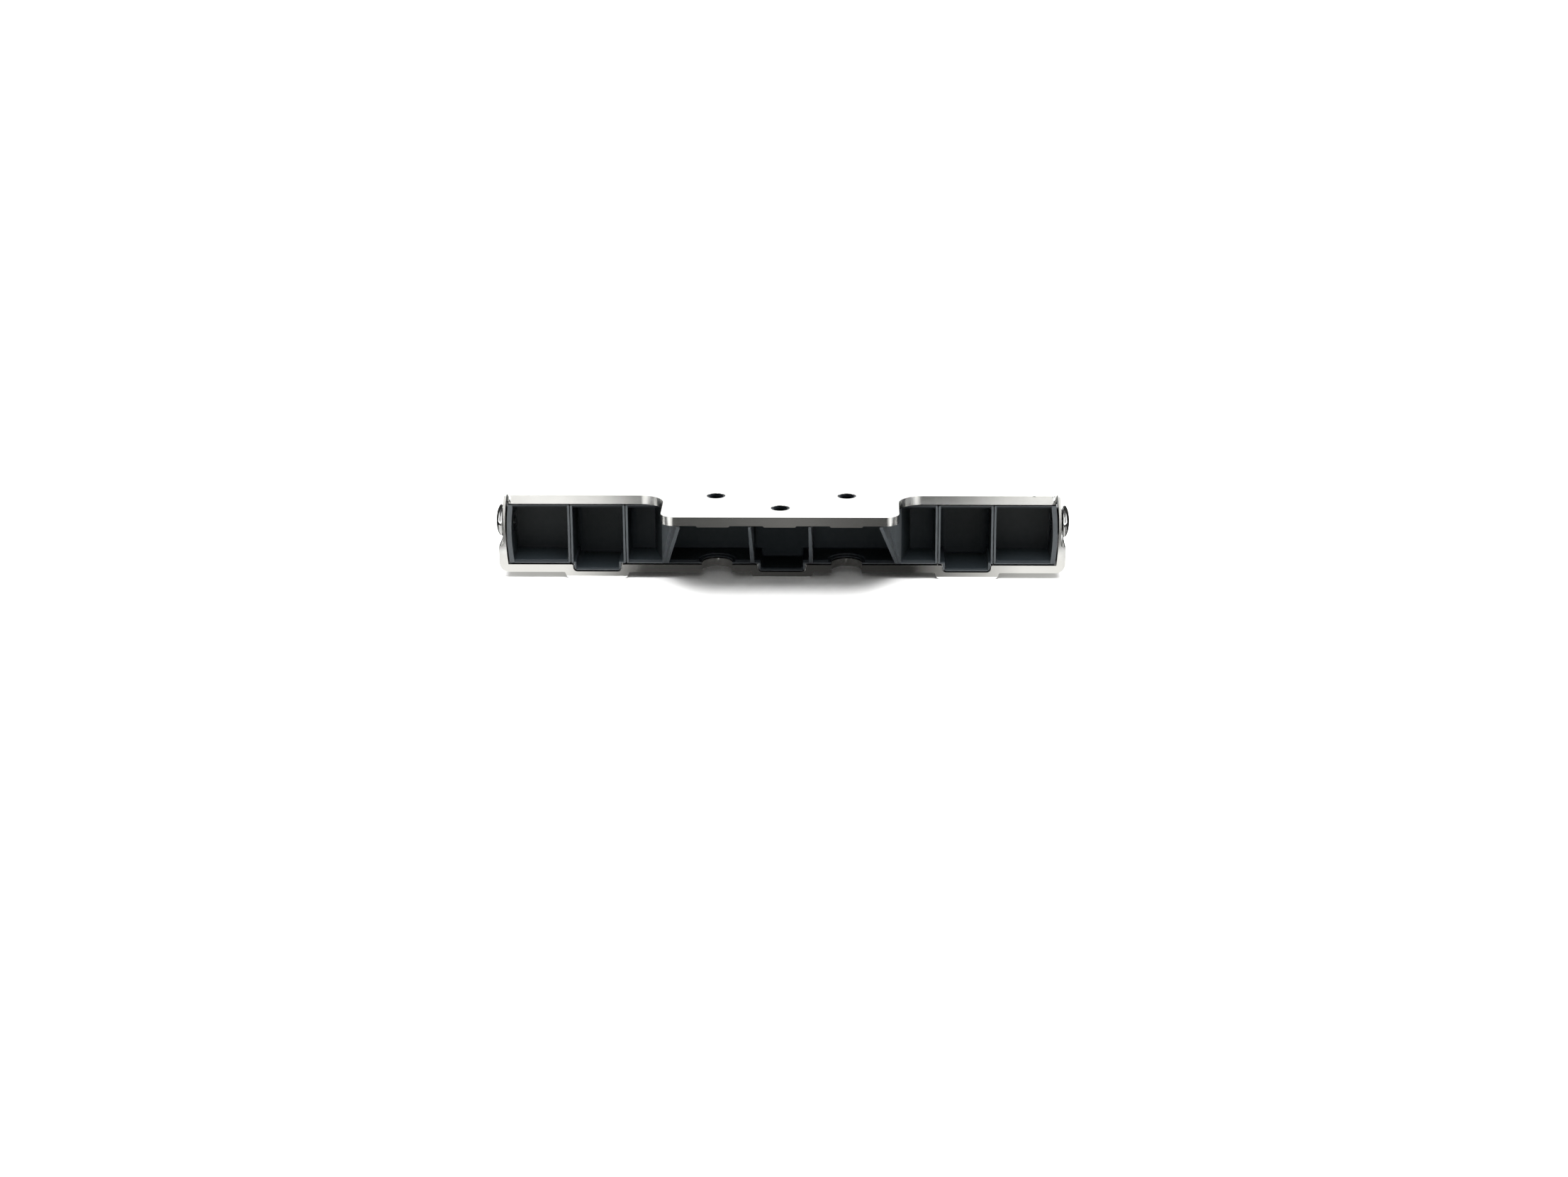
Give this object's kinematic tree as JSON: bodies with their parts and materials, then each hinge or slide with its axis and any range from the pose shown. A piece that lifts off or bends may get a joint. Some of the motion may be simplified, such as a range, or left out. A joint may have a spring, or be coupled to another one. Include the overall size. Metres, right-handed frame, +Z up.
{
  "type": "linear guide carriage",
  "caption": "Low, wide plain-bearing guide carriage: flat metal top plate with a front mounting tongue, ribbed black core, formed tray with runner feet, and sprung side glide buttons.",
  "frame": {"origin": "centre of the overall box, on the plane of the runner feet's undersides", "axes": "+X across the width towards the right glide button, -Y towards the mounting tongue, +Z up out of the top plate"},
  "size_m": [0.1052, 0.0252, 0.0158],
  "materials": {
    "satin_metal": "fine satin, clear anodised",
    "black_plastic": "moulded, semi-matt, fine spark texture",
    "polished_steel": "polished",
    "spring_steel": "dark hardened",
    "zinc_steel": "zinc plated",
    "black_steel": "black oxide",
    "glide_plastic": "smooth bearing plastic"
  },
  "bodies": {
    "carriage": {"top_plate": "satin_metal", "tray": "satin_metal", "middle_moulding": "black_plastic", "left_thread_insert": "black_steel", "right_thread_insert": "black_steel", "front_thread_insert": "black_steel", "left_outer_clamp_screw": "zinc_steel", "left_inner_clamp_screw": "zinc_steel", "right_inner_clamp_screw": "zinc_steel", "right_outer_clamp_screw": "zinc_steel", "left_end_box": "black_plastic", "left_runner_box": "black_plastic", "left_spring_washer": "spring_steel", "left_button_bush": "glide_plastic", "right_end_box": "black_plastic", "right_runner_box": "black_plastic", "right_spring_washer": "spring_steel", "right_button_bush": "glide_plastic"},
    "left_button": {"left_glide_button": "polished_steel", "left_retaining_clip": "spring_steel"},
    "right_button": {"right_glide_button": "polished_steel", "right_retaining_clip": "spring_steel"}
  },
  "joints": [
    {"name": "left_button_press", "type": "slide", "parent": "carriage", "child": "left_button", "axis": [1, 0, 0], "range_m": [0, 0.00035], "stiffness_N_per_m": 4000, "springref_m": -0.0003, "deforming": ["left_spring_washer"]},
    {"name": "right_button_press", "type": "slide", "parent": "carriage", "child": "right_button", "axis": [-1, 0, 0], "range_m": [0, 0.00035], "stiffness_N_per_m": 4000, "springref_m": -0.0003, "deforming": ["right_spring_washer"]}
  ]
}
